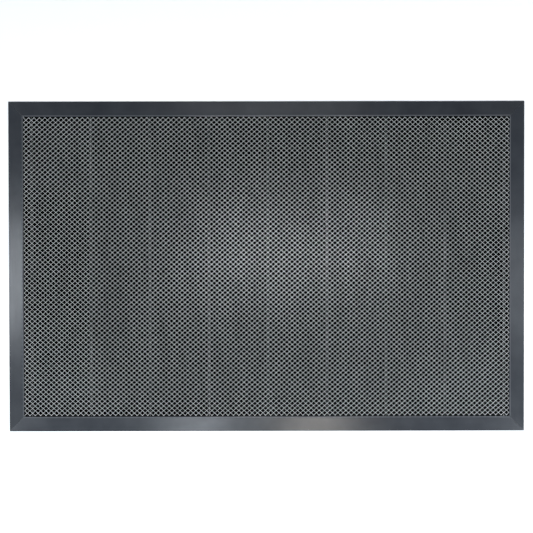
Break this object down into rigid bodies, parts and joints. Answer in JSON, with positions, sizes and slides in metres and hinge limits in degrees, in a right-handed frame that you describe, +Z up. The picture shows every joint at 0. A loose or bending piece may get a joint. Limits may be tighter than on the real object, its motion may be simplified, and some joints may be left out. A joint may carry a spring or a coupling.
{
  "type": "door mat",
  "caption": "Rectangular scraper door mat: open zigzag-web vinyl mesh on a thin backing sheet, framed by bevelled edging strips with welded mitred corners.",
  "frame": {"origin": "centre of the underside, where the mat lies on the floor", "axes": "+X along the long side, +Y along the short side (the way the ribbons run), +Z up through the thickness"},
  "size_m": [0.9, 0.576, 0.0068],
  "materials": {
    "edging_vinyl": "satin",
    "weld_vinyl": "satin",
    "mesh_vinyl": "satin",
    "backing_vinyl": "gloss"
  },
  "bodies": {
    "root": {"edging_front": "edging_vinyl", "edging_right": "edging_vinyl", "edging_back": "edging_vinyl", "edging_left": "edging_vinyl", "corner_weld_front_left": "weld_vinyl", "corner_weld_front_right": "weld_vinyl", "corner_weld_back_right": "weld_vinyl", "corner_weld_back_left": "weld_vinyl", "backing_sheet": "backing_vinyl", "mesh_band_01": "mesh_vinyl", "mesh_band_02": "mesh_vinyl", "mesh_band_03": "mesh_vinyl", "mesh_band_04": "mesh_vinyl", "mesh_band_05": "mesh_vinyl", "mesh_band_06": "mesh_vinyl", "mesh_band_07": "mesh_vinyl", "mesh_band_08": "mesh_vinyl", "mesh_band_09": "mesh_vinyl", "mesh_band_10": "mesh_vinyl", "seam_web_1": "mesh_vinyl", "seam_web_2": "mesh_vinyl", "seam_web_3": "mesh_vinyl", "seam_web_4": "mesh_vinyl", "seam_web_5": "mesh_vinyl", "seam_web_6": "mesh_vinyl", "seam_web_7": "mesh_vinyl", "seam_web_8": "mesh_vinyl", "seam_web_9": "mesh_vinyl"}
  },
  "joints": []
}
